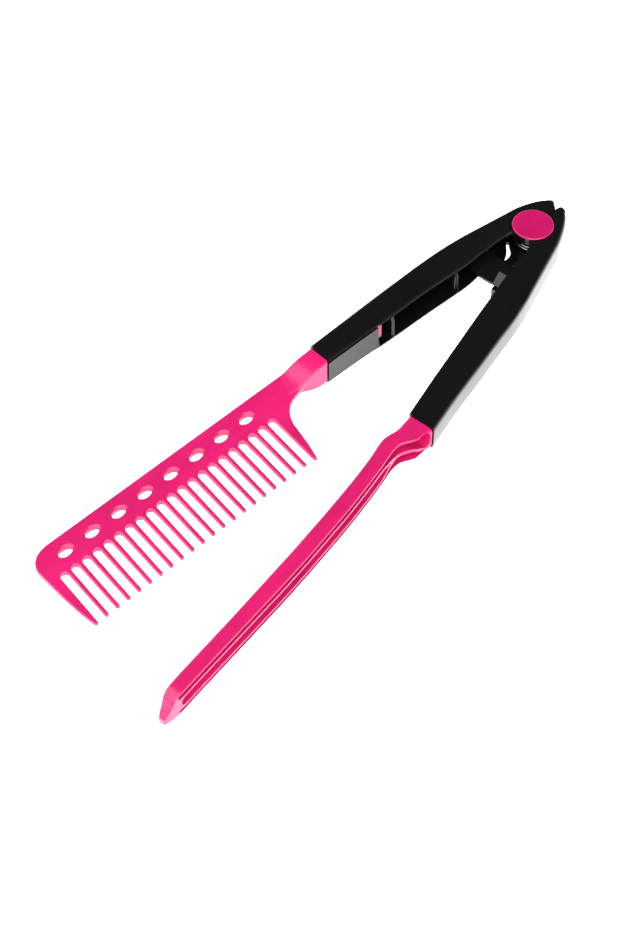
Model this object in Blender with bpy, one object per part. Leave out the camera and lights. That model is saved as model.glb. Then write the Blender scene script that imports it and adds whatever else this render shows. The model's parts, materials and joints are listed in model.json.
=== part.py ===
"""Hair straightening comb: two black sprung arms on a pivot, one with a pink
comb and one with a pink slotted clamp blade that the comb's teeth pass through.

The comb lies on its side. Z is up, +X runs from the free ends to the pivot, and
+Y is the comb's side. Plan tables are in millimetres from the pivot's axis."""

import math

import bmesh
import bpy
import numpy as np
from mathutils import Vector

MM = 0.001
FLAT_WITHIN = math.radians(0.1)

# Driving dimensions, in millimetres
GAP = 0.3
PIVOT_X = 110.2
PIVOT_Y = -2.81
ARM_HEIGHT = 10.8
MID_HEIGHT = ARM_HEIGHT / 2
SHELL_WALL = 1.5
SHELL_PLATE = 1.4
COMB_ARM_ROUNDING = 1.2
CLAMP_ARM_ROUNDING = 1.8
FOOT_CHAMFER = 1.0

# Inner top edge of each arm, as (inset, drop) pairs from its top face to its side
COMB_ARM_TOP_EDGE = ((1.6, 0.0), (0.75, 0.22), (0.3, 0.6), (0.08, 1.0), (0.0, 1.4))
CLAMP_ARM_TOP_EDGE = ((0.4, 0.0), (0.0, 0.4))
SMALL_EDGE = ((0.5, 0.0), (0.0, 0.5))

# Pivot: ears of the comb arm outside, ears of the clamp arm inside, spring between
EAR_RADIUS = 6.8
EAR_CLEARANCE_RADIUS = 7.1
COMB_EARS = ((0.0, 1.9), (9.3, ARM_HEIGHT))
CLAMP_EARS = ((2.2, 3.0), (8.0, 9.0))
PIN_RADIUS = 2.0
PIN_HOLE_RADIUS = 2.3
PIN_HEAD_RADIUS = 3.2
PIN_HEAD_Z = (0.2, 0.8)
COUNTERBORE_RADIUS = 3.5
COUNTERBORE_DEPTH = 1.1
CAP_RADIUS = 7.5
CAP_Z = (11.1, 11.9)

# Spring wire
WIRE_RADIUS = 0.28
WIRE_SIDES = 6
COIL_RADIUS = 5.8
FIXED_COIL_Z = (5.95, 3.6)
FIXED_COIL_TURNS = 1.7
MOVING_COIL_Z = (7.35, 7.35)
MOVING_COIL_TURNS = 0.8
FIXED_LEG_X = -24.0
MOVING_LEG_X = -12.6

# Guide tongue of the comb arm, a flat sector that slides into the clamp arm between
# a ledge below it and a sloped lug above it
TONGUE_RADII = (16.5, 27.6)
TONGUE_Z = (4.6, 5.6)
TONGUE_ROOT_ANGLES = (53.0, 36.5)
TONGUE_TIP_ANGLES = (-24.0, -17.0)
LEDGE_X = (-28.9, -22.0)
LEDGE_Z = (0.0, 4.3)
LEDGE_REACH_Y = (-3.35, -2.9)
LEDGE_OVERLAP = 0.8
LEDGE_FOOT_DEPTH = 3.0
LEDGE_FOOT_TOP = 1.8
LUG_X = (-28.3, -24.6, -22.0)
LUG_Z = (6.0, 9.6)
LUG_Y = (-3.2, -8.6)

# Web of the comb arm's lower plate beside the pivot, with a slanted slot
WEB_PLAN = (
    (-4.5, 4.5), (-4.5, -1.5), (-9.0, -1.6), (-12.9, -1.25), (-16.5, -0.45), (-20.5, 0.9), (-20.5, 8.0),
)
WEB_SLOT_PLAN = (
    (-12.3, 2.5), (-9.9, 2.4), (-7.9, 3.1), (-6.5, 4.7), (-4.1, 7.0),
    (-4.7, 7.7), (-7.3, 5.5), (-8.5, 4.6), (-10.2, 3.6), (-12.2, 2.9),
)

# Windows of the arms, between thin ribs, along X
WINDOWS = ((-71.9, -65.7), (-64.8, -34.8), (-33.9, 0.2))
SOCKET_X = (-99.0, -71.3)
RIB_INSET = 0.45
BEYOND_SIDE = 4.0
BEYOND_FACE = 1.0
PANEL_WALL = 1.2
PANEL_GROOVE_Z = (8.95, 9.8)
PANEL_GROOVE_DEPTH = 0.7

# Comb, along its back (s) and down its teeth (t)
COMB_SLOPE = math.radians(6.5)
COMB_ORIGIN = (-109.0, 27.5)
COMB_THICKNESS = 2.8
TOOTH_ROOT_THICKNESS = 2.05
TOOTH_TIP_THICKNESS = 1.45
PLATE_TAPER_T = (7.0, 11.5, 34.0)
GAP_COUNT = 21
TOOTH_PITCH = 4.54
FIRST_GAP_S = 106.87
ROOT_T = 12.0
TIP_T = 34.2
TOOTH_WIDTH = 1.55
TOOTH_TIP_WIDTH = 1.5
TOOTH_LEAN = math.radians(6.0)
TOOTH_TIP_FLAT = 0.42
TOOTH_TIP_ROUND = 0.55
EDGE_CHAMFER = 0.32
HOLE_LIP = 0.6
HOLE_COUNT = 8
FIRST_HOLE_S = 100.7
HOLE_PITCH = 11.33
HOLE_T = 6.2
HOLE_HALF_LENGTH = 2.8
HOLE_HALF_WIDTH = 1.65
NECK_ROUNDING = 0.9
NECK_SKEW = 0.5
TANG_Z = (3.4, 8.8)
TANG_START_X = -98.5
TANG_END_X = -68.9

# Blade: slot, and a groove on each side of it that opens into a pocket at the root
BLADE_Z = (0.1, 10.7)
SLOT_HALF = 2.05
SLOT_X = (-114.8, -228.8)
SLOT_OPEN_X = -120.0
SLOT_POINT_HALF = 0.3
SLOT_END_ANGLES = (80.0, 55.0, 30.0)
GROOVE_Z = (2.8, 4.6)
GROOVE_END_X = -229.9
FORK_X = (-120.0, -114.8, -112.0, -105.5, -103.0, -100.2)
UPPER_FORK = (GROOVE_Z[0], 1.4, 0.65, 0.65, -1.0, -2.7)
LOWER_FORK = (GROOVE_Z[0], 1.4, 0.65, 0.65, 2.3, 3.7)
POCKET_ROUND_X = -100.2
POCKET_END_X = -98.3
POCKET_END_ANGLES = (25.0, 50.0, 70.0, 85.0)
GROOVE_WEB = 1.6
POCKET_WEB = 3.6
WEB_GROWS_X = (-106.0, -102.5)
WALL_PROUD = 0.2
WALL_PROUD_X = (-230.5, -228.0, -108.0, -105.0)
BLADE_TANG_X = (-98.1, -72.5)

# Plan of the arms: x, y of the outer edge, y of the inner edge
COMB_ARM_PLAN = (
    (-95.2, 25.75, 16.45),
    (-80.0, 24.45, 14.70),
    (-65.0, 23.10, 12.75),
    (-50.0, 21.60, 10.95),
    (-40.0, 20.50, 9.35),
    (-30.0, 19.10, 7.55),
    (-20.0, 17.05, 6.45),
    (-10.0, 14.45, 4.90),
    (-4.0, 12.85, 2.50),
    (0.0, 11.75, -0.05),
    (5.0, 10.30, -0.05),
    (9.0, 8.40, -0.45),
    (12.0, 6.55, -0.85),
    (13.3, 5.40, -0.70),
    (14.3, 4.45, 0.20),
    (15.0, 3.60, 1.00),
    (15.7, 2.60, 1.75),
)
CLAMP_ARM_PLAN = (
    (-97.4, -29.90, -19.20),
    (-80.0, -26.95, -16.00),
    (-65.0, -24.95, -13.40),
    (-50.0, -22.75, -10.85),
    (-40.0, -21.40, -9.20),
    (-30.0, -19.45, -7.60),
    (-20.0, -16.95, -5.95),
    (-10.0, -14.40, -4.95),
    (-4.0, -12.85, -2.80),
    (0.0, -11.80, -0.35),
    (5.0, -9.95, -0.35),
    (9.0, -8.10, -0.75),
    (12.0, -6.35, -1.15),
    (13.3, -5.35, -1.20),
    (14.1, -4.70, -1.50),
    (14.7, -4.05, -1.75),
    (15.05, -3.45, -2.05),
)
FRONT_SKEW = 0.55
FRONT_SKEW_LENGTH = 12.0
TAIL_TAPER_LENGTH = 0.5
TAIL_TAPER = 0.9

# Lean of the comb arm's inner side: how far its foot stands out, along X, and how far
# the foot is raked towards the free ends for each millimetre that it stands out
RAKE = 1.2
COMB_ARM_LEAN = (
    (-95.2, 1.10), (-80.0, 1.50), (-75.0, 1.65), (-70.0, 2.00), (-60.0, 2.25), (-50.0, 2.40),
    (-40.0, 2.35), (-30.0, 2.10), (-25.0, 1.85), (-14.0, 0.0),
)

# Neck of the comb: x, outer y, inner y, half height, lean of the inner side
NECK = (
    (-114.5, 27.30, 19.60, 1.10, 0.0),
    (-110.5, 27.25, 18.45, 1.45, 0.0),
    (-107.0, 26.85, 18.00, 2.30, 0.15),
    (-103.5, 26.40, 17.45, 3.55, 0.5),
    (-100.0, 25.90, 17.15, 4.30, 0.9),
    (-97.6, 25.50, 17.00, 4.60, 1.0),
    (-95.6, 25.25, 16.90, 4.70, 1.05),
)

# Blade plan: x, inner y, outer y, bottom z, top z, outer corner radius
BLADE = (
    (-97.7, -19.75, -29.35, 0.5, 10.3, 1.6),
    (-99.7, -19.90, -28.95, 0.4, 10.4, 1.4),
    (-102.0, -20.10, -28.35, 0.3, 10.5, 0.9),
    (-104.3, -20.30, -28.10, 0.2, 10.6, 0.6),
    (-106.5, -20.05, -26.90, 0.1, 10.7, 0.5),
    (-109.0, -19.35, -25.35, 0.1, 10.7, 0.5),
    (-111.5, -19.10, -24.85, 0.1, 10.7, 0.5),
    (-114.5, -19.50, -25.05, 0.1, 10.7, 0.5),
    (-120.0, -20.60, -26.05, 0.1, 10.7, 0.5),
    (-130.0, -22.00, -27.50, 0.1, 10.7, 0.5),
    (-140.0, -23.05, -28.70, 0.1, 10.7, 0.5),
    (-150.0, -23.95, -29.60, 0.1, 10.7, 0.5),
    (-165.0, -25.05, -30.75, 0.1, 10.7, 0.5),
    (-180.0, -25.95, -31.60, 0.1, 10.7, 0.5),
    (-200.0, -27.00, -32.40, 0.1, 10.7, 0.5),
    (-220.0, -27.85, -33.12, 0.1, 10.7, 0.5),
    (-226.0, -28.20, -33.40, 0.1, 10.7, 0.5),
    (-228.5, -28.35, -33.52, 0.1, 10.6, 0.5),
    (-230.2, -28.50, -33.60, 0.1, 10.15, 0.6),
    (-231.6, -28.80, -33.50, 0.1, 9.15, 0.7),
    (-232.8, -29.15, -33.40, 0.2, 7.4, 0.7),
    (-234.0, -29.55, -33.20, 0.3, 5.7, 0.6),
    (-235.2, -29.95, -32.95, 0.5, 4.3, 0.5),
    (-236.1, -30.50, -32.60, 0.8, 3.3, 0.4),
)


def clear_scene():
    for obj in list(bpy.data.objects):
        bpy.data.objects.remove(obj, do_unlink=True)


def make_material(name, colour, roughness, metallic=0.0):
    material = bpy.data.materials.new(name)
    material.use_nodes = True
    shader = material.node_tree.nodes["Principled BSDF"]
    shader.inputs["Base Color"].default_value = (*colour, 1.0)
    shader.inputs["Roughness"].default_value = roughness
    shader.inputs["Metallic"].default_value = metallic
    material.diffuse_color = (*colour, 1.0)
    return material


def place(x, y, z):
    """A point in metres from a plan point in millimetres from the pivot."""
    return Vector(((x + PIVOT_X) * MM, (y + PIVOT_Y) * MM, z * MM))


def mesh_object(name, bm, material=None):
    bmesh.ops.recalc_face_normals(bm, faces=bm.faces)
    mesh = bpy.data.meshes.new(name)
    bm.to_mesh(mesh)
    bm.free()
    if material is not None:
        mesh.materials.append(material)
        mesh.shade_smooth()
        mesh.set_sharp_from_angle(angle=math.radians(35))
    obj = bpy.data.objects.new(name, mesh)
    bpy.context.scene.collection.objects.link(obj)
    return obj


def cutter(obj):
    obj.hide_render = True
    obj.display_type = "WIRE"
    return obj


def boolean(obj, other, operation):
    modifier = obj.modifiers.new(operation.title(), "BOOLEAN")
    modifier.operation = operation
    modifier.solver = "EXACT"
    modifier.object = cutter(other)
    return obj


def loft(name, rings, material=None):
    """A closed solid with flat faces through rings of plan points, all of one length."""
    bm = bmesh.new()
    loops = [[bm.verts.new(place(*point)) for point in ring] for ring in rings]
    count = len(loops[0])
    for here, there in zip(loops, loops[1:]):
        for i in range(count):
            j = (i + 1) % count
            bm.faces.new((here[i], here[j], there[j], there[i]))
    bm.faces.new(loops[0])
    bm.faces.new(loops[-1])
    bmesh.ops.connect_verts_nonplanar(bm, angle_limit=FLAT_WITHIN, faces=bm.faces)
    return mesh_object(name, bm, material)


def turned(name, profile, material=None, segments=48):
    """A solid turned on the pivot's axis from a profile of (radius, z) points."""
    rings = []
    for radius, z in profile:
        turns = [2 * math.pi * i / segments for i in range(segments)]
        rings.append([(radius * math.cos(turn), radius * math.sin(turn), z) for turn in turns])
    return loft(name, rings, material)


def disc(name, radius, z_low, z_high, segments=48):
    return turned(name, [(radius, z_low), (radius, z_high)], segments=segments)


def prism(name, outline, z_low, z_high, material=None):
    """A flat plate between two heights, with a convex or concave plan outline."""
    return loft(name, [[(x, y, z) for x, y in outline] for z in (z_low, z_high)], material)


def smooth_rows(rows, steps):
    """Rows on a smooth curve through the rows of a table, steps for each span."""
    table = np.array(rows, dtype=float)
    last = len(table) - 1
    result = []
    for i in range(last):
        before, after = table[max(i - 1, 0)], table[min(i + 2, last)]
        start, end = table[i], table[i + 1]
        for step in range(steps):
            t = step / steps
            span = end[0] - start[0]
            pull_in = (end - before) / (end[0] - before[0]) * span
            pull_out = (after - start) / (after[0] - start[0]) * span
            result.append(
                (2 * t**3 - 3 * t**2 + 1) * start + (t**3 - 2 * t**2 + t) * pull_in
                + (3 * t**2 - 2 * t**3) * end + (t**3 - t**2) * pull_out
            )
    result.append(table[last])
    return np.array(result)


class Plan:
    """The outer and inner edge of an arm or blade as functions of x."""

    def __init__(self, rows, outer_column, inner_column, steps=3, lean=((0.0, 0.0),)):
        self.rows = smooth_rows(rows, steps)
        self.lean_rows = lean
        order = np.argsort(self.rows[:, 0])
        self.x = self.rows[order, 0]
        self.outer_y = self.rows[order, outer_column]
        self.inner_y = self.rows[order, inner_column]

    def outer(self, x):
        return float(np.interp(x, self.x, self.outer_y))

    def inner(self, x):
        return float(np.interp(x, self.x, self.inner_y))

    def lean(self, x):
        """How far the foot of the inner side stands out."""
        return float(np.interp(x, *zip(*self.lean_rows)))

    def face(self, x, z):
        """The inner side's y at a height, with its lean."""
        side = math.copysign(1, self.outer(x) - self.inner(x))
        return self.inner(x) - side * self.lean(x) * (1 - z / ARM_HEIGHT)

    def between(self, start, end):
        """Stations from start to end, with the plan's own rows between them."""
        low, high = min(start, end), max(start, end)
        inside = [x for x in self.x if low + 0.2 < x < high - 0.2]
        return [low, *inside, high]


def box_ring(x, y_outer, y_inner, z_low, z_high):
    return [(x, y_outer, z_low), (x, y_inner, z_low), (x, y_inner, z_high), (x, y_outer, z_high)]


def leaning_ring(plan, x, outer_y, inset, z_low, z_high):
    """A section from a y to an inset from the plan's leaning and raked inner side."""
    low_x, high_x = (x - RAKE * plan.lean(x) * (1 - z / ARM_HEIGHT) for z in (z_low, z_high))
    return [
        (x, outer_y, z_low), (low_x, plan.face(x, z_low) + inset, z_low),
        (high_x, plan.face(x, z_high) + inset, z_high), (x, outer_y, z_high),
    ]


def rounded_ring(x, y_outer, y_inner, z_low, z_high, radius, top_edge, foot, lean=0.0, skew=0.0):
    """A section across an arm: rounded outer edges, an inner top edge through the
    (inset, drop) pairs of top_edge, and a chamfered foot that stands out by the lean."""
    side = 1 if y_inner > y_outer else -1
    width = abs(y_inner - y_outer)
    height = z_high - z_low
    room = min(width, height) * 0.45
    big = min(radius, room)
    points = []
    for z, upward, angles in ((z_low, 1, (90, 60, 30, 0)), (z_high, -1, (0, 30, 60, 90))):
        for angle in angles:
            turn = math.radians(angle)
            points.append((big * (1 - math.cos(turn)), z + upward * big * (1 - math.sin(turn))))
    fit = min(1.0, room / top_edge[0][0])
    points += [(width - inset * fit, z_high - drop * fit) for inset, drop in top_edge]
    small = min(foot, room)
    points += [(width, z_low + small), (width - small, z_low)]
    ring = []
    for reach, z in points:
        share = reach / width
        out = lean * share * (z_high - z) / height
        ring.append((x - 2 * skew * (share - 0.5) - RAKE * out, y_outer + side * (reach + out), z))
    return ring


def arm_shell(name, plan, material, front_skew, rounding, top_edge):
    """The solid outside form of an arm, from its front end to its tail."""
    front, tail = plan.x[0], plan.x[-1]
    rings = []
    for x in plan.x:
        skew = front_skew * max(0.0, 1 - (x - front) / FRONT_SKEW_LENGTH)
        taper = float(np.interp(x, (tail - TAIL_TAPER_LENGTH, tail), (0.0, TAIL_TAPER)))
        rings.append(rounded_ring(
            x, plan.outer(x), plan.inner(x), taper, ARM_HEIGHT - taper, rounding, top_edge,
            FOOT_CHAMFER, plan.lean(x), skew,
        ))
    return loft(name, rings, material)


def hollow_arm(arm, plan, side):
    """Cuts the windows and the front socket, leaving ribs and a front panel."""
    z_low, z_high = SHELL_PLATE, ARM_HEIGHT - SHELL_PLATE
    for index, (start, end) in enumerate(WINDOWS):
        rings = [
            leaning_ring(plan, x, plan.outer(x) - side * SHELL_WALL, -side * BEYOND_SIDE, z_low, z_high)
            for x in plan.between(start, end)
        ]
        boolean(arm, loft(f"{arm.name}_window_{index}", rings), "DIFFERENCE")
    for index, (before, after) in enumerate(zip(WINDOWS, WINDOWS[1:])):
        rings = [
            leaning_ring(plan, x, plan.inner(x) - side * 2 * BEYOND_SIDE, side * RIB_INSET,
                         z_low + GAP, z_high - GAP)
            for x in (before[1] - GAP, after[0] + GAP)
        ]
        boolean(arm, loft(f"{arm.name}_rib_inset_{index}", rings), "DIFFERENCE")
    rings = [
        leaning_ring(plan, x, plan.outer(x) - side * SHELL_WALL, side * PANEL_WALL, z_low, z_high)
        for x in plan.between(*SOCKET_X)
    ]
    boolean(arm, loft(f"{arm.name}_socket", rings), "DIFFERENCE")
    rings = [
        box_ring(x, plan.inner(x) + side * PANEL_GROOVE_DEPTH, plan.inner(x) - side, *PANEL_GROOVE_Z)
        for x in plan.between(SOCKET_X[0], WINDOWS[0][0] + GAP)
    ]
    boolean(arm, loft(f"{arm.name}_panel_groove", rings), "DIFFERENCE")


def make_ears(arm, ears, boss):
    """Adds a boss at the pivot and clears it between the arm's own ears."""
    boolean(arm, disc(f"{arm.name}_boss", EAR_RADIUS, *boss), "UNION")
    levels = [-BEYOND_FACE, *ears[0], *ears[1], ARM_HEIGHT + BEYOND_FACE]
    for low, high in zip(levels[::2], levels[1::2]):
        if 0 < high and low < ARM_HEIGHT:
            clearance = disc(f"{arm.name}_clear_{low}", EAR_CLEARANCE_RADIUS, low, high)
            boolean(arm, clearance, "DIFFERENCE")
    pin_hole = disc(
        f"{arm.name}_pin_hole", PIN_HOLE_RADIUS, -BEYOND_FACE, ARM_HEIGHT + BEYOND_FACE, 24,
    )
    boolean(arm, pin_hole, "DIFFERENCE")


def polar(radius, angle_degrees):
    """A plan point at an angle from the -X side of the pivot towards +Y."""
    angle = math.radians(angle_degrees)
    return -radius * math.cos(angle), radius * math.sin(angle)


def add_guide_tongue(arm):
    inner_radius, outer_radius = TONGUE_RADII
    steps = 14
    outline = []
    for i in range(steps + 1):
        share = i / steps
        angle = TONGUE_TIP_ANGLES[1] + (TONGUE_ROOT_ANGLES[1] - TONGUE_TIP_ANGLES[1]) * share
        outline.append(polar(outer_radius, angle))
    for i in range(steps + 1):
        share = i / steps
        angle = TONGUE_ROOT_ANGLES[0] + (TONGUE_TIP_ANGLES[0] - TONGUE_ROOT_ANGLES[0]) * share
        outline.append(polar(inner_radius, angle))
    boolean(arm, prism("guide_tongue", outline, *TONGUE_Z), "UNION")


def add_guide_ledge(arm, plan):
    """A low ledge on the clamp arm, under the guide tongue."""
    start, end = LEDGE_X
    outline = [
        (start, plan.inner(start) - LEDGE_OVERLAP), (start, LEDGE_REACH_Y[0]),
        (end, LEDGE_REACH_Y[1]), (end, plan.inner(end) - LEDGE_OVERLAP),
    ]
    boolean(arm, prism("guide_ledge", outline, *LEDGE_Z), "UNION")
    foot = [(start, plan.inner(start) - LEDGE_FOOT_DEPTH), (start, plan.inner(start)),
            (end, plan.inner(end)), (end, plan.inner(end) - LEDGE_FOOT_DEPTH)]
    boolean(arm, prism("guide_ledge_foot", foot, 0.0, LEDGE_FOOT_TOP), "UNION")


def add_guide_lug(arm):
    """A lug over the guide tongue, sloped on the side of the free ends."""
    front, shoulder, back = LUG_X
    low, high = LUG_Z
    profile = [(front, low), (back, low), (back, high), (shoulder, high)]
    rings = [[(x, y, z) for x, z in profile] for y in LUG_Y]
    boolean(arm, loft("guide_lug", rings), "UNION")


def add_hub_web(arm):
    boolean(arm, prism("hub_web", WEB_PLAN, 0.0, SHELL_PLATE), "UNION")
    boolean(arm, prism("hub_web_slot", WEB_SLOT_PLAN, -BEYOND_FACE, SHELL_PLATE + GAP), "DIFFERENCE")


def make_comb_handle(material):
    plan = Plan(COMB_ARM_PLAN, 1, 2, lean=COMB_ARM_LEAN)
    arm = arm_shell(
        "comb_handle", plan, material, FRONT_SKEW, COMB_ARM_ROUNDING, COMB_ARM_TOP_EDGE,
    )
    hollow_arm(arm, plan, 1)
    make_ears(arm, COMB_EARS, (0.0, ARM_HEIGHT))
    counterbore = disc("counterbore", COUNTERBORE_RADIUS, -BEYOND_FACE, COUNTERBORE_DEPTH, 32)
    boolean(arm, counterbore, "DIFFERENCE")
    add_guide_tongue(arm)
    add_hub_web(arm)


def make_clamp_handle(material):
    plan = Plan(CLAMP_ARM_PLAN, 1, 2)
    arm = arm_shell("clamp_handle", plan, material, 0.0, CLAMP_ARM_ROUNDING, CLAMP_ARM_TOP_EDGE)
    hollow_arm(arm, plan, -1)
    make_ears(arm, CLAMP_EARS, (CLAMP_EARS[0][0] - 0.5, CLAMP_EARS[1][1] + 0.2))
    add_guide_ledge(arm, plan)
    add_guide_lug(arm)


def comb_point(s, t):
    """A plan point from a distance along the comb's back and one down its teeth."""
    return (
        COMB_ORIGIN[0] - s * math.cos(COMB_SLOPE) - t * math.sin(COMB_SLOPE),
        COMB_ORIGIN[1] + s * math.sin(COMB_SLOPE) - t * math.cos(COMB_SLOPE),
    )


def comb_half_thickness(t):
    """The plate thins below the holes, and the teeth thin towards their tips."""
    thickness = np.interp(
        t, PLATE_TAPER_T, (COMB_THICKNESS, TOOTH_ROOT_THICKNESS, TOOTH_TIP_THICKNESS)
    )
    return float(thickness) / 2


def arc(centre, radius, start, end, steps):
    """Points (s, t) round a centre, with angles in degrees from +s towards +t."""
    points = []
    for i in range(steps + 1):
        angle = math.radians(start + (end - start) * i / steps)
        points.append((centre[0] + radius * math.cos(angle), centre[1] + radius * math.sin(angle)))
    return points


def tooth_gap(index):
    """The sides and round root of one gap, from the tip side nearer the end."""
    lean = math.tan(TOOTH_LEAN)
    centre_s = FIRST_GAP_S - index * TOOTH_PITCH
    radius = (TOOTH_PITCH * math.cos(TOOTH_LEAN) - TOOTH_WIDTH) / 2
    root_t = ROOT_T + radius
    tip_half = (TOOTH_PITCH - TOOTH_TIP_WIDTH) / 2
    tip_s = centre_s + (TIP_T - ROOT_T) * lean
    points = [(tip_s + tip_half, TIP_T - TOOTH_TIP_ROUND)]
    points += arc((centre_s + radius * lean, root_t), radius, 0, -180, 6)
    points.append((tip_s - tip_half, TIP_T - TOOTH_TIP_ROUND))
    return points


def tooth_tip(index):
    """The rounded end of the tooth after a gap."""
    lean = math.tan(TOOTH_LEAN)
    s = FIRST_GAP_S - (index + 0.5) * TOOTH_PITCH + (TIP_T - ROOT_T) * lean
    return [(s + TOOTH_TIP_FLAT, TIP_T), (s - TOOTH_TIP_FLAT, TIP_T)]


def comb_outline():
    """The comb's plan as (s, t) points: back, end, teeth and throat."""
    outline = [(-4.0, 0.3), (104.2, 0.0)]
    outline += arc((105.0, 7.8), 7.5, -75, -10, 4)
    outline += [(112.6, 14.0), (112.8, 20.0), (112.7, 27.0), (112.45, TIP_T - 2.5)]
    outline += [(112.15, TIP_T - 0.5), (111.8, TIP_T + 0.1), (111.3, TIP_T + 0.3), (110.85, TIP_T)]
    for index in range(GAP_COUNT):
        outline += tooth_gap(index)
        if index < GAP_COUNT - 1:
            outline += tooth_tip(index)
    outline += [(16.6, TIP_T + 0.2), (16.1, TIP_T + 0.6), (15.6, TIP_T + 0.3), (15.25, TIP_T - 0.6)]
    outline += [(13.8, 29.2), (12.4, 24.0), (11.2, 18.9), (10.0, 16.1), (8.45, 14.0)]
    outline += [(6.6, 12.25), (4.8, 11.2), (2.8, 10.5), (0.0, 9.7), (-4.0, 9.1)]
    return outline


def hole_outline(index, steps=16):
    s = FIRST_HOLE_S - index * HOLE_PITCH
    points = []
    for i in range(steps):
        angle = 2 * math.pi * i / steps
        points.append((s + HOLE_HALF_LENGTH * math.cos(angle), HOLE_T + HOLE_HALF_WIDTH * math.sin(angle)))
    return points


def inset_outline(points, distance):
    """The outline moved by a distance to its left, corner by corner."""
    moved = []
    count = len(points)
    for i in range(count):
        here = Vector(points[i])
        into = (here - Vector(points[i - 1])).normalized()
        out = (Vector(points[(i + 1) % count]) - here).normalized()
        normal_in = Vector((-into.y, into.x))
        normal_out = Vector((-out.y, out.x))
        mitre = normal_in + normal_out
        scale = distance / max(mitre.dot(normal_in), 0.6)
        moved.append((here.x + mitre.x * scale, here.y + mitre.y * scale))
    return moved


def make_comb_plate():
    """The comb's plate with teeth and oval holes, chamfered along every edge."""
    bm = bmesh.new()
    outlines = [(comb_outline(), EDGE_CHAMFER)]
    outlines += [(hole_outline(index)[::-1], HOLE_LIP) for index in range(HOLE_COUNT)]
    rims = {-1: [], 1: []}
    for points, chamfer in outlines:
        inner = inset_outline(points, chamfer)
        loops = []
        for height_side, inset in ((-1, True), (-1, False), (1, False), (1, True)):
            loop = []
            for (s, t), (s_in, t_in) in zip(points, inner):
                half = comb_half_thickness(t)
                z = MID_HEIGHT + height_side * (half if inset else half - chamfer)
                x, y = comb_point(s_in, t_in) if inset else comb_point(s, t)
                loop.append(bm.verts.new((x + PIVOT_X, y + PIVOT_Y, z)))
            loops.append(loop)
        for here, there in zip(loops, loops[1:]):
            for i in range(len(points)):
                j = (i + 1) % len(points)
                bm.faces.new((here[i], here[j], there[j], there[i]))
        rims[-1].append(loops[0])
        rims[1].append(loops[-1])
    for loops in rims.values():
        edges = []
        for loop in loops:
            edges += [bm.edges.get((loop[i - 1], loop[i])) for i in range(len(loop))]
        bmesh.ops.triangle_fill(bm, use_beauty=True, use_dissolve=False, edges=edges)
    bmesh.ops.scale(bm, vec=(MM, MM, MM), verts=bm.verts)
    return bm


def make_comb(material):
    comb = mesh_object("comb", make_comb_plate(), material)
    rows = smooth_rows(NECK, 2)
    rings = [
        rounded_ring(
            x, outer, inner, MID_HEIGHT - half, MID_HEIGHT + half, NECK_ROUNDING, SMALL_EDGE, 0.5,
            lean, NECK_SKEW,
        )
        for x, outer, inner, half, lean in rows
    ]
    boolean(comb, loft("neck", rings), "UNION")
    plan = Plan(COMB_ARM_PLAN, 1, 2, lean=COMB_ARM_LEAN)
    rings = [
        leaning_ring(plan, x, plan.outer(x) - SHELL_WALL - GAP, PANEL_WALL + GAP, *TANG_Z)
        for x in plan.between(TANG_START_X, TANG_END_X)
    ]
    boolean(comb, loft("tang", rings), "UNION")


def blade_ring(x, inner, outer, z_low, z_high, radius):
    """A section of the blade, whose two walls beside the slot stand a little proud."""
    proud = float(np.interp(x, WALL_PROUD_X, (0.0, WALL_PROUD, WALL_PROUD, 0.0)))
    middle = (z_low + z_high) / 2
    half = (z_high - z_low) / 2
    share = (z_high - z_low) / (BLADE_Z[1] - BLADE_Z[0])
    wall = GROOVE_Z[0] * share
    rim = min(GROOVE_Z[1] * share, half - radius - 0.1)
    ring = rounded_ring(x, outer, inner, z_low, z_high, radius, SMALL_EDGE, 0.5)
    side = [(x, outer, middle - rim), (x, outer - proud, middle - wall),
            (x, outer - proud, middle + wall), (x, outer, middle + rim)]
    return ring[:4] + side + ring[4:]


def blade_groove(plan, side):
    """Sections of a groove beside the slot, which opens into a round-ended pocket."""
    fork = UPPER_FORK if side > 0 else LOWER_FORK
    rings = []
    for x in plan.between(GROOVE_END_X, POCKET_ROUND_X):
        low = float(np.interp(x, FORK_X, fork))
        web = float(np.interp(x, WEB_GROWS_X, (GROOVE_WEB, POCKET_WEB)))
        rings.append((x, low, GROOVE_Z[1], web))
    middle = (fork[-1] + GROOVE_Z[1]) / 2
    half = GROOVE_Z[1] - middle
    for angle in POCKET_END_ANGLES:
        turn = math.radians(angle)
        x = POCKET_ROUND_X + (POCKET_END_X - POCKET_ROUND_X) * math.sin(turn)
        reach = half * math.cos(turn)
        rings.append((x, middle - reach, middle + reach, POCKET_WEB))
    return [
        box_ring(x, plan.outer(x) - BEYOND_SIDE, plan.inner(x) - web,
                 *sorted((MID_HEIGHT + side * low, MID_HEIGHT + side * high)))
        for x, low, high, web in rings
    ]


def blade_cutters(blade, plan):
    """The slot that the teeth pass through, and the grooves beside it."""
    stations = []
    for angle in SLOT_END_ANGLES:
        turn = math.radians(angle)
        stations.append((SLOT_X[1] + SLOT_HALF * (1 - math.sin(turn)), SLOT_HALF * math.cos(turn)))
    for x in plan.between(SLOT_X[1] + SLOT_HALF, SLOT_X[0]):
        half = float(np.interp(x, (SLOT_OPEN_X, SLOT_X[0]), (SLOT_HALF, SLOT_POINT_HALF)))
        stations.append((x, half))
    slot = [
        box_ring(x, plan.outer(x) - BEYOND_SIDE, plan.inner(x) + BEYOND_SIDE,
                 MID_HEIGHT - half, MID_HEIGHT + half)
        for x, half in stations
    ]
    boolean(blade, loft("blade_slot", slot), "DIFFERENCE")
    for side in (1, -1):
        boolean(blade, loft(f"blade_groove_{side}", blade_groove(plan, side)), "DIFFERENCE")


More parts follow.
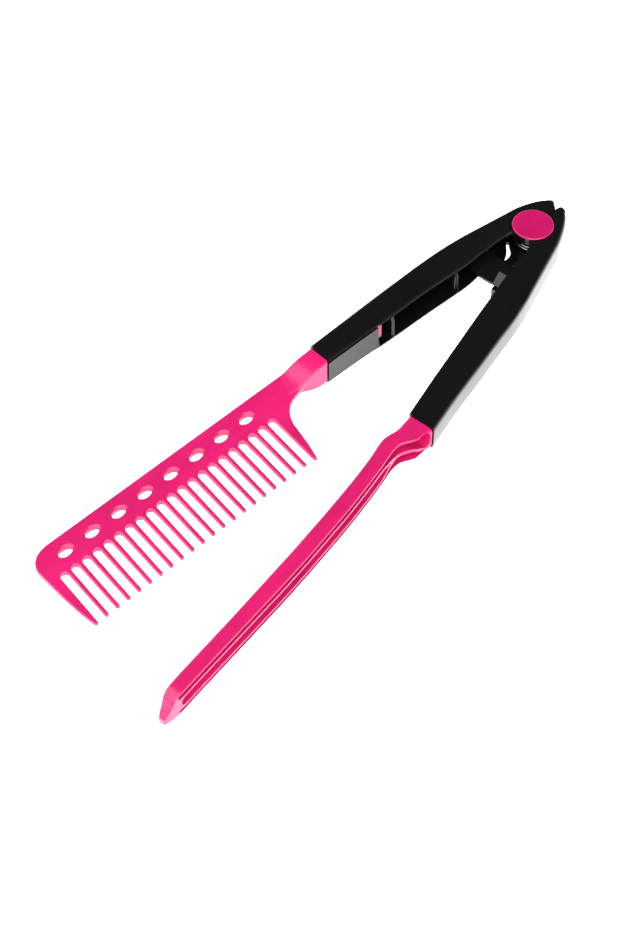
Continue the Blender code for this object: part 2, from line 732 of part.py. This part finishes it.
def make_clamp_blade(material):
    rings = [blade_ring(*row) for row in smooth_rows(BLADE, 2)]
    blade = loft("clamp_blade", rings, material)
    blade_cutters(blade, Plan(BLADE, 2, 1, steps=2))
    arm = Plan(CLAMP_ARM_PLAN, 1, 2)
    rings = [
        box_ring(x, arm.outer(x) + SHELL_WALL + GAP, arm.inner(x) - PANEL_WALL - GAP,
                 SHELL_PLATE + GAP, ARM_HEIGHT - SHELL_PLATE - GAP)
        for x in arm.between(*BLADE_TANG_X)
    ]
    boolean(blade, loft("blade_tang", rings), "UNION")


def make_pivot(pink, steel):
    low, high = CAP_Z
    rim = (high - low) * 0.5
    profile = [(CAP_RADIUS - 0.4, low), (CAP_RADIUS, low + 0.2)]
    for angle in (0, 30, 60, 90):
        turn = math.radians(angle)
        profile.append((CAP_RADIUS - rim * (1 - math.cos(turn)), high - rim * (1 - math.sin(turn))))
    turned("pivot_cap", profile, pink)
    turned("pivot_pin", [
        (PIN_HEAD_RADIUS, PIN_HEAD_Z[0]), (PIN_HEAD_RADIUS, PIN_HEAD_Z[1]),
        (PIN_RADIUS, PIN_HEAD_Z[1]), (PIN_RADIUS, ARM_HEIGHT),
    ], steel, 24)


def wire(name, path, material, sides=WIRE_SIDES):
    """A round wire along a path of plan points."""
    bm = bmesh.new()
    points = [Vector(point) for point in path]
    loops = []
    for i, point in enumerate(points):
        ahead = points[min(i + 1, len(points) - 1)]
        behind = points[max(i - 1, 0)]
        along = (ahead - behind).normalized()
        across = along.cross(Vector((0, 0, 1))).normalized()
        upward = across.cross(along)
        loop = []
        for k in range(sides):
            angle = 2 * math.pi * k / sides
            offset = across * math.cos(angle) + upward * math.sin(angle)
            loop.append(bm.verts.new(place(*(point + offset * WIRE_RADIUS))))
        loops.append(loop)
    for here, there in zip(loops, loops[1:]):
        for k in range(sides):
            j = (k + 1) % sides
            bm.faces.new((here[k], here[j], there[j], there[k]))
    bm.faces.new(loops[0])
    bm.faces.new(loops[-1])
    return mesh_object(name, bm, material)


def coil_path(arm_plan, leg_x, levels, turns, steps_per_turn=20):
    """Turns round the pivot that leave on a tangent to a leg against the arm's wall."""
    outer_y = Plan(arm_plan, 1, 2).outer(leg_x)
    side = math.copysign(1, outer_y)
    z_start, z_end = levels
    end_x, end_y = leg_x, abs(outer_y) - SHELL_WALL - GAP - WIRE_RADIUS
    distance = math.hypot(end_x, end_y)
    towards = math.atan2(end_y, end_x)
    leave = towards - math.acos(COIL_RADIUS / distance)
    steps = int(turns * steps_per_turn)
    path = []
    for i in range(steps + 1):
        angle = leave - 2 * math.pi * turns * (1 - i / steps)
        z = z_end + (z_start - z_end) * (1 - i / steps)
        path.append((COIL_RADIUS * math.cos(angle), side * COIL_RADIUS * math.sin(angle), z))
    path.append((end_x, side * end_y, z_end))
    return path


def make_spring(steel):
    fixed = coil_path(COMB_ARM_PLAN, FIXED_LEG_X, FIXED_COIL_Z, FIXED_COIL_TURNS)
    moving = coil_path(CLAMP_ARM_PLAN, MOVING_LEG_X, MOVING_COIL_Z, MOVING_COIL_TURNS)
    wire("spring_fixed_coil", fixed, steel)
    wire("spring_moving_coil", moving, steel)


def hang_on_pivot(names):
    """Parents the moving pieces to an empty on the pivot's axis."""
    pivot = bpy.data.objects.new("clamp_arm_pivot", None)
    pivot.location = place(0, 0, MID_HEIGHT)
    bpy.context.scene.collection.objects.link(pivot)
    bpy.context.view_layer.update()
    for name in names:
        obj = bpy.data.objects[name]
        obj.parent = pivot
        obj.matrix_parent_inverse = pivot.matrix_world.inverted()


def main():
    clear_scene()
    black = make_material("black_plastic", (0.009, 0.009, 0.009), 0.28)
    pink = make_material("pink_plastic", (0.95, 0.02, 0.22), 0.32)
    cap_pink = make_material("cap_plastic", (0.72, 0.012, 0.16), 0.3)
    steel = make_material("spring_steel", (0.55, 0.55, 0.56), 0.3, 1.0)
    make_comb_handle(black)
    make_clamp_handle(black)
    make_comb(pink)
    make_clamp_blade(pink)
    make_pivot(cap_pink, steel)
    make_spring(steel)
    hang_on_pivot(("clamp_handle", "clamp_blade", "spring_moving_coil"))


main()
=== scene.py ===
"""The finish of a hair straightening comb, laid out as a Blender add-on and run as a script."""

import math
import json

import bmesh
import bpy
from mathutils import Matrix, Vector


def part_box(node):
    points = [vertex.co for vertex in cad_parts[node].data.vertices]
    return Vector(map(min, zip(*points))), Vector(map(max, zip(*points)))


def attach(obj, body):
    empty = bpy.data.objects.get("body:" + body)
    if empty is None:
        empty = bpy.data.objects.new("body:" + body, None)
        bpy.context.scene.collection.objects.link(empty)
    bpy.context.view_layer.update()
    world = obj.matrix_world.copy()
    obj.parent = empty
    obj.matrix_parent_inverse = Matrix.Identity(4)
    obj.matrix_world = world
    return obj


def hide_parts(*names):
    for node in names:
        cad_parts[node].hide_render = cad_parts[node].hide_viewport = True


bl_info = {
    "name": "Hair Straightening Comb",
    "version": (1, 0, 0),
    "blender": (4, 5, 0),
    "location": "3D View > Sidebar > Comb",
    "description": "Finishes the arms, comb, blade, pivot and spring of a hair straightening comb",
    "category": "Object",
}

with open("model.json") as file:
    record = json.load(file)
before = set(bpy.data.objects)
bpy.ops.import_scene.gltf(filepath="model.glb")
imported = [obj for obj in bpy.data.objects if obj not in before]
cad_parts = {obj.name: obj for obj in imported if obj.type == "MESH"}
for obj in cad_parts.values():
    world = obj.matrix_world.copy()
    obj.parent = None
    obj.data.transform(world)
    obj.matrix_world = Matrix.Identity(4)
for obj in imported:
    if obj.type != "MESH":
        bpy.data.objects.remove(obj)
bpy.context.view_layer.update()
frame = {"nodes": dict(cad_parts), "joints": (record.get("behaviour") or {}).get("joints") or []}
PIVOT = Vector(frame["joints"][0]["pos_m"])
COMB_ARM = "comb_arm"
CLAMP_ARM = "clamp_arm"
MM = 0.001

# Meshes
MERGE_DISTANCE = 0.002 * MM
FLAT_ANGLE = math.radians(0.4)
EDGE_ANGLE = math.radians(38)
SMOOTH_ANGLE = math.radians(34)
TURNED_EDGE_ANGLE = math.radians(50)
TURNED_SMOOTH_ANGLE = math.radians(40)

# Cap and pin
CAP_DISH_STEPS = (0.121, 0.165, 0.22)
SHANK_RADIUS = 2.0 * MM
HEAD_HEIGHT = 0.6 * MM
HEAD_ROUNDING = 0.14 * MM
DIMPLE_DEPTH = 0.18 * MM
DIMPLE_INSETS = (0.55, 0.12)

# Spring: each coil's node, body, side of the pivot, turns, and whether it climbs
COILS = (
    ("spring_fixed_coil", COMB_ARM, 1, 1.7, True),
    ("spring_moving_coil", CLAMP_ARM, -1, 0.8, False),
)
STEPS_PER_TURN = 40
LEG_END_INSET = 0.6

# Stage
CAMERA_PLACE = (-0.3763, -0.29801, 0.5775)
TARGET = Vector((-0.0259, -0.01121, 0.0118))
KEY_PLACE, KEY_SIZE = (-0.75, -0.95, 1.35), 3.0
FILL_PLACE, FILL_SIZE = (-0.95, 0.75, 1.3), 2.6
SKY_HEIGHTS = (0.18, 0.55)
SKY_OVERHEAD = 0.05


class CombColours(bpy.types.PropertyGroup):
    """Colours of the moulded plastics and the floor."""

    black: bpy.props.FloatVectorProperty(
        name="Handle black", description="Base colour of the two handles",
        default=(0.0034, 0.0034, 0.0036), subtype="COLOR", size=3, min=0.0, max=1.0,
    )
    pink: bpy.props.FloatVectorProperty(
        name="Comb pink", description="Base colour of the comb and the clamp blade",
        default=(0.50, 0.009, 0.106), subtype="COLOR", size=3, min=0.0, max=1.0,
    )
    cap: bpy.props.FloatVectorProperty(
        name="Cap pink", description="Base colour of the pivot cap",
        default=(0.42, 0.0055, 0.092), subtype="COLOR", size=3, min=0.0, max=1.0,
    )
    steel: bpy.props.FloatVectorProperty(
        name="Steel", description="Base colour of the spring wire and the pin",
        default=(0.34, 0.34, 0.35), subtype="COLOR", size=3, min=0.0, max=1.0,
    )
    floor: bpy.props.FloatVectorProperty(
        name="Floor", description="Base colour of the studio floor",
        default=(0.86, 0.86, 0.86), subtype="COLOR", size=3, min=0.0, max=1.0,
    )


class CombSizes(bpy.types.PropertyGroup):
    """Sizes of the finishing details."""

    handle_edge: bpy.props.FloatProperty(
        name="Handle edge", description="Rounding of the handles' moulded edges",
        default=0.00016, min=0.0, max=0.001, unit="LENGTH", precision=5,
    )
    comb_edge: bpy.props.FloatProperty(
        name="Comb edge", description="Rounding of the comb's chamfered edges",
        default=0.0001, min=0.0, max=0.0005, unit="LENGTH", precision=5,
    )
    blade_edge: bpy.props.FloatProperty(
        name="Blade edge", description="Rounding of the blade's ridges and grooves",
        default=0.00014, min=0.0, max=0.0005, unit="LENGTH", precision=5,
    )
    cap_rim: bpy.props.FloatProperty(
        name="Cap rim", description="Rounding of the pivot cap's rim",
        default=0.0004, min=0.0, max=0.0008, unit="LENGTH", precision=5,
    )
    cap_dish: bpy.props.FloatProperty(
        name="Cap dish", description="How far the pivot cap's face is dished",
        default=0.00008, min=0.0, max=0.0003, unit="LENGTH", precision=5,
    )
    wire: bpy.props.FloatProperty(
        name="Spring wire", description="Diameter of the spring's wire",
        default=0.00054, min=0.0004, max=0.0012, unit="LENGTH", precision=5,
    )
    coil: bpy.props.FloatProperty(
        name="Coil radius", description="Radius of the spring's coil at the middle of the wire",
        default=0.0058, min=0.004, max=0.0062, unit="LENGTH", precision=5,
    )


class CombStage(bpy.types.PropertyGroup):
    """The studio: camera, lamps and floor."""

    lens: bpy.props.FloatProperty(
        name="Lens", description="Focal length for a frame 24 mm high",
        default=57.13, min=20.0, max=200.0, unit="CAMERA",
    )
    key: bpy.props.FloatProperty(
        name="Key lamp", description="Power of the large soft lamp on the camera's side",
        default=76.0, min=0.0, max=500.0, unit="POWER",
    )
    fill: bpy.props.FloatProperty(
        name="Fill lamp", description="Power of the soft lamp on the comb's side",
        default=38.0, min=0.0, max=500.0, unit="POWER",
    )
    floor_glow: bpy.props.FloatProperty(
        name="Floor glow", description="Light given off by the floor, as by a lit table",
        default=1.6, min=0.0, max=5.0,
    )
    floor_radius: bpy.props.FloatProperty(
        name="Floor radius", description="Radius of the studio floor",
        default=4.0, min=1.0, max=20.0, unit="LENGTH",
    )


def settings():
    return bpy.context.scene.comb_colours, bpy.context.scene.comb_sizes, bpy.context.scene.comb_stage


def deselect_all():
    if bpy.context.object and bpy.context.object.mode != "OBJECT":
        bpy.ops.object.mode_set(mode="OBJECT")
    bpy.ops.object.select_all(action="DESELECT")


def make_active(obj):
    deselect_all()
    obj.select_set(True)
    bpy.context.view_layer.objects.active = obj


def apply_modifier(obj, kind, **values):
    """Adds a modifier with the given values and applies it."""
    make_active(obj)
    modifier = obj.modifiers.new(kind.title(), kind)
    for name, value in values.items():
        setattr(modifier, name, value)
    bpy.ops.object.modifier_apply(modifier=modifier.name)


def copy_of_node(node, name):
    """A merged copy of a CAD node, with its flat faces made whole again."""
    source = frame["nodes"][node]
    deselect_all()
    piece = bpy.data.objects.new(name, source.data.copy())
    bpy.context.scene.collection.objects.link(piece)
    piece.data.materials.clear()
    make_active(piece)
    bpy.ops.object.mode_set(mode="EDIT")
    bpy.ops.mesh.select_all(action="SELECT")
    bpy.ops.mesh.remove_doubles(threshold=MERGE_DISTANCE)
    bpy.ops.mesh.customdata_custom_splitnormals_clear()
    bpy.ops.mesh.dissolve_limited(angle_limit=FLAT_ANGLE)
    bpy.ops.object.mode_set(mode="OBJECT")
    return piece


def round_edges(piece, width):
    """Rounds the sharp edges of a moulding and shades it smooth."""
    apply_modifier(
        piece, "BEVEL", width=width, segments=2, limit_method="ANGLE",
        angle_limit=EDGE_ANGLE, offset_type="OFFSET", use_clamp_overlap=True,
        miter_outer="MITER_ARC", loop_slide=True,
    )
    make_active(piece)
    bpy.ops.object.shade_smooth_by_angle(angle=SMOOTH_ANGLE)
    apply_modifier(piece, "WEIGHTED_NORMAL", keep_sharp=True, weight=60)


def finish_piece(piece, material, body, node):
    """Gives a piece its material and its body, and hides the CAD node that it stands for."""
    piece.data.materials.clear()
    piece.data.materials.append(material)
    deselect_all()
    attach(piece, body)
    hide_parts(node)


def add_node(tree, kind, **inputs):
    """A shader node whose named inputs are set, or linked where a socket is given."""
    node = tree.nodes.new(kind)
    for name, value in inputs.items():
        socket = node.inputs[name.replace("_", " ")]
        if isinstance(value, bpy.types.NodeSocket):
            tree.links.new(value, socket)
        else:
            socket.default_value = value
    return node


def map_range(tree, source, low, high):
    """Turns a noise factor into a value between low and high."""
    node = add_node(tree, "ShaderNodeMapRange", From_Min=0.3, From_Max=0.7, To_Min=low, To_Max=high)
    tree.links.new(source, node.inputs["Value"])
    return node.outputs["Result"]


def moulded_plastic(name, colour, roughness, grain):
    """Injection-moulded plastic: faint flow marks, a fine mould grain and uneven gloss."""
    material = bpy.data.materials.get(name)
    if material:
        return material
    material = bpy.data.materials.new(name)
    material.use_nodes = True
    tree = material.node_tree
    shader = tree.nodes["Principled BSDF"]
    shader.inputs["IOR"].default_value = 1.5
    place = add_node(tree, "ShaderNodeTexCoord").outputs["Object"]

    stretch = add_node(tree, "ShaderNodeMapping", Vector=place, Scale=(0.35, 1.0, 1.0))
    flow = add_node(tree, "ShaderNodeTexNoise", Vector=stretch.outputs["Vector"],
                    Scale=70.0, Detail=4.0, Roughness=0.55)
    dark = tuple(channel * 0.82 for channel in colour)
    light = tuple(min(channel * 1.12, 1.0) for channel in colour)
    ramp = tree.nodes.new("ShaderNodeValToRGB")
    ramp.color_ramp.elements[0].position = 0.35
    ramp.color_ramp.elements[0].color = (*dark, 1.0)
    ramp.color_ramp.elements[1].position = 0.68
    ramp.color_ramp.elements[1].color = (*light, 1.0)
    tree.links.new(flow.outputs["Fac"], ramp.inputs["Fac"])
    tree.links.new(ramp.outputs["Color"], shader.inputs["Base Color"])

    patches = add_node(tree, "ShaderNodeTexNoise", Vector=place, Scale=240.0, Detail=3.0, Roughness=0.6)
    gloss = map_range(tree, patches.outputs["Fac"], roughness * 0.88, roughness * 1.14)
    tree.links.new(gloss, shader.inputs["Roughness"])

    fine = add_node(tree, "ShaderNodeTexNoise", Vector=place, Scale=2600.0, Detail=2.0, Roughness=0.5)
    waves = add_node(tree, "ShaderNodeTexNoise", Vector=place, Scale=120.0, Detail=1.0, Roughness=0.4)
    sinks = add_node(tree, "ShaderNodeBump", Height=waves.outputs["Fac"], Strength=0.10, Distance=0.00025)
    bump = add_node(tree, "ShaderNodeBump", Height=fine.outputs["Fac"], Strength=grain,
                    Distance=0.00004, Normal=sinks.outputs["Normal"])
    tree.links.new(bump.outputs["Normal"], shader.inputs["Normal"])
    return material


def drawn_steel(name, colour):
    """Bright steel with fine drawing marks."""
    material = bpy.data.materials.get(name)
    if material:
        return material
    material = bpy.data.materials.new(name)
    material.use_nodes = True
    tree = material.node_tree
    shader = tree.nodes["Principled BSDF"]
    shader.inputs["Base Color"].default_value = (*colour, 1.0)
    shader.inputs["Metallic"].default_value = 1.0
    place = add_node(tree, "ShaderNodeTexCoord").outputs["Object"]
    marks = add_node(tree, "ShaderNodeTexNoise", Vector=place, Scale=3200.0, Detail=3.0, Roughness=0.6)
    tree.links.new(map_range(tree, marks.outputs["Fac"], 0.2, 0.38), shader.inputs["Roughness"])
    tone = tree.nodes.new("ShaderNodeValToRGB")
    tone.color_ramp.elements[0].color = (*(channel * 0.75 for channel in colour), 1.0)
    tone.color_ramp.elements[1].color = (*colour, 1.0)
    tree.links.new(marks.outputs["Fac"], tone.inputs["Fac"])
    tree.links.new(tone.outputs["Color"], shader.inputs["Base Color"])
    bump = add_node(tree, "ShaderNodeBump", Height=marks.outputs["Fac"], Strength=0.15, Distance=0.00002)
    tree.links.new(bump.outputs["Normal"], shader.inputs["Normal"])
    return material


def black_plastic():
    return moulded_plastic("black_moulding", tuple(settings()[0].black), 0.2, 0.05)


def pink_plastic():
    return moulded_plastic("pink_moulding", tuple(settings()[0].pink), 0.24, 0.06)


def cap_plastic():
    return moulded_plastic("cap_moulding", tuple(settings()[0].cap), 0.2, 0.05)


def steel():
    return drawn_steel("bright_steel", tuple(settings()[0].steel))


class HAIRCOMB_OT_handles(bpy.types.Operator):
    """Make the two black handles with softened moulded edges"""

    bl_idname = "haircomb.handles"
    bl_label = "Handles"

    def execute(self, context):
        edge = settings()[1].handle_edge
        for node, body in (("comb_handle", COMB_ARM), ("clamp_handle", CLAMP_ARM)):
            piece = copy_of_node(node, f"{node}_moulding")
            round_edges(piece, edge)
            finish_piece(piece, black_plastic(), body, node)
        return {"FINISHED"}


class HAIRCOMB_OT_comb(bpy.types.Operator):
    """Make the pink comb with its teeth, holes and neck"""

    bl_idname = "haircomb.comb"
    bl_label = "Comb"

    def execute(self, context):
        piece = copy_of_node("comb", "comb_moulding")
        round_edges(piece, settings()[1].comb_edge)
        finish_piece(piece, pink_plastic(), COMB_ARM, "comb")
        return {"FINISHED"}


class HAIRCOMB_OT_clamp_blade(bpy.types.Operator):
    """Make the pink slotted blade that clamps the hair"""

    bl_idname = "haircomb.clamp_blade"
    bl_label = "Clamp blade"

    def execute(self, context):
        piece = copy_of_node("clamp_blade", "clamp_blade_moulding")
        round_edges(piece, settings()[1].blade_edge)
        finish_piece(piece, pink_plastic(), CLAMP_ARM, "clamp_blade")
        return {"FINISHED"}


class HAIRCOMB_OT_pivot(bpy.types.Operator):
    """Make the pivot's pink cap and steel pin"""

    bl_idname = "haircomb.pivot"
    bl_label = "Pivot"

    def execute(self, context):
        self.make_cap()
        self.make_pin()
        return {"FINISHED"}

    def make_cap(self):
        """A disc with a rounded rim and a face that is very slightly dished."""
        sizes = settings()[1]
        low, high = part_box("pivot_cap")
        radius = (high.x - low.x) / 2
        thick = high.z - low.z
        deselect_all()
        bpy.ops.mesh.primitive_cylinder_add(
            vertices=96, radius=radius, depth=thick, location=(0, 0, 0),
        )
        cap = bpy.context.object
        cap.name = "pivot_cap_disc"
        bpy.ops.object.mode_set(mode="EDIT")
        bpy.ops.mesh.select_all(action="DESELECT")
        select_faces(cap, lambda face: face.normal.z > 0.9)
        bpy.ops.mesh.inset(thickness=sizes.cap_rim * 1.6)
        for share in CAP_DISH_STEPS:
            bpy.ops.mesh.inset(thickness=radius * share)
            bpy.ops.transform.translate(value=(0, 0, -sizes.cap_dish / len(CAP_DISH_STEPS)))
        bpy.ops.object.mode_set(mode="OBJECT")
        apply_modifier(
            cap, "BEVEL", width=sizes.cap_rim, segments=5, limit_method="ANGLE",
            angle_limit=TURNED_EDGE_ANGLE,
        )
        place_mesh(cap, (PIVOT.x, PIVOT.y, low.z + thick / 2))
        make_active(cap)
        bpy.ops.object.shade_smooth_by_angle(angle=TURNED_SMOOTH_ANGLE)
        finish_piece(cap, cap_plastic(), COMB_ARM, "pivot_cap")

    def make_pin(self):
        """A headed pin, its head rounded and dimpled underneath."""
        low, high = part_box("pivot_pin")
        head_radius = (high.x - low.x) / 2
        deselect_all()
        bpy.ops.mesh.primitive_cylinder_add(
            vertices=48, radius=head_radius, depth=HEAD_HEIGHT, location=(0, 0, HEAD_HEIGHT / 2),
        )
        pin = bpy.context.object
        pin.name = "pivot_pin_steel"
        bpy.ops.object.mode_set(mode="EDIT")
        bpy.ops.mesh.select_all(action="DESELECT")
        select_faces(pin, lambda face: face.normal.z > 0.9)
        bpy.ops.mesh.inset(thickness=head_radius - SHANK_RADIUS)
        bpy.ops.mesh.extrude_region_move(
            TRANSFORM_OT_translate={"value": (0, 0, high.z - low.z - HEAD_HEIGHT)},
        )
        bpy.ops.mesh.select_all(action="DESELECT")
        select_faces(pin, lambda face: face.normal.z < -0.9)
        for share in DIMPLE_INSETS:
            bpy.ops.mesh.inset(thickness=head_radius * share)
        bpy.ops.transform.translate(value=(0, 0, DIMPLE_DEPTH))
        bpy.ops.object.mode_set(mode="OBJECT")
        apply_modifier(
            pin, "BEVEL", width=HEAD_ROUNDING, segments=3, limit_method="ANGLE",
            angle_limit=TURNED_EDGE_ANGLE,
        )
        place_mesh(pin, (PIVOT.x, PIVOT.y, low.z + HEAD_HEIGHT / 2))
        make_active(pin)
        bpy.ops.object.shade_smooth_by_angle(angle=TURNED_SMOOTH_ANGLE)
        finish_piece(pin, steel(), COMB_ARM, "pivot_pin")


class HAIRCOMB_OT_spring(bpy.types.Operator):
    """Make the spring's two coils of round wire, with a leg in each arm"""

    bl_idname = "haircomb.spring"
    bl_label = "Spring"

    def execute(self, context):
        sizes = settings()[1]
        half = sizes.wire / 2
        for node, body, side, turns, climbs in COILS:
            low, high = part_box(node)
            leg_y = (high.y if side > 0 else low.y) - side * half - PIVOT.y
            leg_x = low.x + half * LEG_END_INSET - PIVOT.x
            start_z = high.z - half
            end_z = low.z + half if climbs else start_z
            path = self.coil_path(sizes.coil, leg_x, abs(leg_y), side, start_z, end_z, turns)
            coil = wire_along(f"{node}_wire", path, half)
            finish_piece(coil, steel(), body, node)
        return {"FINISHED"}

    def coil_path(self, radius, leg_x, leg_y, side, start_z, end_z, turns):
        """Turns round the pivot that leave on a tangent towards the leg's end."""
        distance = math.hypot(leg_x, leg_y)
        leave = math.atan2(leg_y, leg_x) - math.acos(radius / distance)
        steps = int(turns * STEPS_PER_TURN)
        path = []
        for i in range(steps + 1):
            share = 1 - i / steps
            angle = leave - 2 * math.pi * turns * share
            z = end_z + (start_z - end_z) * share
            path.append((
                PIVOT.x + radius * math.cos(angle), PIVOT.y + side * radius * math.sin(angle), z,
            ))
        path.append((PIVOT.x + leg_x, PIVOT.y + side * leg_y, end_z))
        return path


def wire_along(name, path, radius):
    """A round wire along a path of points, made a mesh."""
    curve = bpy.data.curves.new(name, "CURVE")
    curve.dimensions = "3D"
    curve.bevel_depth = radius
    curve.bevel_resolution = 4
    curve.use_fill_caps = True
    spline = curve.splines.new("POLY")
    spline.points.add(len(path) - 1)
    for point, place in zip(spline.points, path):
        point.co = (*place, 1.0)
    obj = bpy.data.objects.new(name, curve)
    bpy.context.scene.collection.objects.link(obj)
    make_active(obj)
    bpy.ops.object.convert(target="MESH")
    obj = bpy.context.object
    bpy.ops.object.mode_set(mode="EDIT")
    bpy.ops.mesh.select_all(action="SELECT")
    bpy.ops.mesh.remove_doubles(threshold=MERGE_DISTANCE)
    bpy.ops.mesh.normals_make_consistent(inside=False)
    bpy.ops.object.mode_set(mode="OBJECT")
    bpy.ops.object.shade_smooth_by_angle(angle=TURNED_SMOOTH_ANGLE)
    return obj


def select_faces(obj, wanted):
    """Selects the faces in edit mode for which wanted(face) is true."""
    bpy.ops.mesh.select_mode(type="FACE")
    mesh = bmesh.from_edit_mesh(obj.data)
    for face in mesh.faces:
        face.select_set(bool(wanted(face)))
    bmesh.update_edit_mesh(obj.data)


def place_mesh(obj, place):
    """Puts the place of a piece into its mesh, with its object at the origin."""
    make_active(obj)
    obj.location = place
    bpy.ops.object.transform_apply(location=True, rotation=True, scale=True)


class HAIRCOMB_OT_stage(bpy.types.Operator):
    """Make the floor, the soft lamps, the sky and the camera"""

    bl_idname = "haircomb.stage"
    bl_label = "Stage"

    def execute(self, context):
        stage = settings()[2]
        self.make_floor(stage)
        self.make_sky()
        self.make_lamp("key_lamp", KEY_PLACE, KEY_SIZE, stage.key)
        self.make_lamp("fill_lamp", FILL_PLACE, FILL_SIZE, stage.fill)
        self.make_camera(stage)
        scene = bpy.context.scene
        scene.view_settings.view_transform = "Standard"
        scene.view_settings.look = "None"
        return {"FINISHED"}

    def make_floor(self, stage):
        deselect_all()
        bpy.ops.mesh.primitive_circle_add(
            vertices=96, radius=stage.floor_radius, fill_type="NGON", location=(0, 0, 0),
        )
        floor = bpy.context.object
        floor.name = "studio_floor"
        material = bpy.data.materials.new("pale_floor")
        material.use_nodes = True
        tree = material.node_tree
        shader = tree.nodes["Principled BSDF"]
        shader.inputs["Roughness"].default_value = 0.9
        shader.inputs["Specular IOR Level"].default_value = 0.1
        shader.inputs["Emission Color"].default_value = (1.0, 1.0, 1.0, 1.0)
        shader.inputs["Emission Strength"].default_value = stage.floor_glow
        place = add_node(tree, "ShaderNodeTexCoord").outputs["Object"]
        paper = add_node(tree, "ShaderNodeTexNoise", Vector=place, Scale=900.0, Detail=2.0)
        tone = tree.nodes.new("ShaderNodeValToRGB")
        base = tuple(settings()[0].floor)
        tone.color_ramp.elements[0].color = (*(channel * 0.985 for channel in base), 1.0)
        tone.color_ramp.elements[1].color = (*base, 1.0)
        tree.links.new(paper.outputs["Fac"], tone.inputs["Fac"])
        tree.links.new(tone.outputs["Color"], shader.inputs["Base Color"])
        floor.data.materials.append(material)

    def make_sky(self):
        """Pale near the horizon and dim overhead, so that upward faces stay dark."""
        world = bpy.context.scene.world or bpy.data.worlds.new("studio_sky")
        bpy.context.scene.world = world
        world.use_nodes = True
        tree = world.node_tree
        background = tree.nodes["Background"]
        place = add_node(tree, "ShaderNodeTexCoord").outputs["Generated"]
        parts = add_node(tree, "ShaderNodeSeparateXYZ", Vector=place)
        low, high = SKY_HEIGHTS
        height = add_node(tree, "ShaderNodeMapRange", From_Min=low, From_Max=high, To_Min=0.0, To_Max=1.0)
        tree.links.new(parts.outputs["Z"], height.inputs["Value"])
        tone = tree.nodes.new("ShaderNodeValToRGB")
        tone.color_ramp.elements[0].color = (1.0, 1.0, 1.0, 1.0)
        tone.color_ramp.elements[1].color = (SKY_OVERHEAD, SKY_OVERHEAD, SKY_OVERHEAD, 1.0)
        tree.links.new(height.outputs["Result"], tone.inputs["Fac"])
        tree.links.new(tone.outputs["Color"], background.inputs["Color"])
        background.inputs["Strength"].default_value = 1.0

    def make_lamp(self, name, place, size, power):
        light = bpy.data.lights.new(name, "AREA")
        light.shape = "DISK"
        light.size = size
        light.energy = power
        lamp = bpy.data.objects.new(name, light)
        bpy.context.scene.collection.objects.link(lamp)
        lamp.location = place
        lamp.rotation_euler = (TARGET - lamp.location).to_track_quat("-Z", "Y").to_euler()

    def make_camera(self, stage):
        data = bpy.data.cameras.new("photo_camera")
        data.sensor_fit = "VERTICAL"
        data.sensor_height = 24.0
        data.lens = stage.lens
        data.clip_start = 0.01
        camera = bpy.data.objects.new("photo_camera", data)
        bpy.context.scene.collection.objects.link(camera)
        camera.location = CAMERA_PLACE
        camera.rotation_euler = (TARGET - camera.location).to_track_quat("-Z", "Y").to_euler()
        bpy.context.scene.camera = camera


class HAIRCOMB_PT_panel(bpy.types.Panel):
    """Lists the comb's pieces and its settings"""

    bl_label = "Hair Straightening Comb"
    bl_idname = "HAIRCOMB_PT_panel"
    bl_space_type = "VIEW_3D"
    bl_region_type = "UI"
    bl_category = "Comb"

    def draw(self, context):
        layout = self.layout
        for operator in OPERATORS:
            layout.operator(operator.bl_idname)
        for group in settings():
            box = layout.box()
            for name in group.__annotations__:
                box.prop(group, name)


OPERATORS = (
    HAIRCOMB_OT_handles,
    HAIRCOMB_OT_comb,
    HAIRCOMB_OT_clamp_blade,
    HAIRCOMB_OT_pivot,
    HAIRCOMB_OT_spring,
    HAIRCOMB_OT_stage,
)
GROUPS = (
    ("comb_colours", CombColours),
    ("comb_sizes", CombSizes),
    ("comb_stage", CombStage),
)


def register():
    for name, group in GROUPS:
        bpy.utils.register_class(group)
        setattr(bpy.types.Scene, name, bpy.props.PointerProperty(type=group))
    for operator in OPERATORS:
        bpy.utils.register_class(operator)
    bpy.utils.register_class(HAIRCOMB_PT_panel)


def unregister():
    bpy.utils.unregister_class(HAIRCOMB_PT_panel)
    for operator in reversed(OPERATORS):
        bpy.utils.unregister_class(operator)
    for name, group in reversed(GROUPS):
        delattr(bpy.types.Scene, name)
        bpy.utils.unregister_class(group)


def main():
    register()
    bpy.ops.haircomb.handles()
    bpy.ops.haircomb.comb()
    bpy.ops.haircomb.clamp_blade()
    bpy.ops.haircomb.pivot()
    bpy.ops.haircomb.spring()
    bpy.ops.haircomb.stage()


if __name__ == "__main__":
    main()
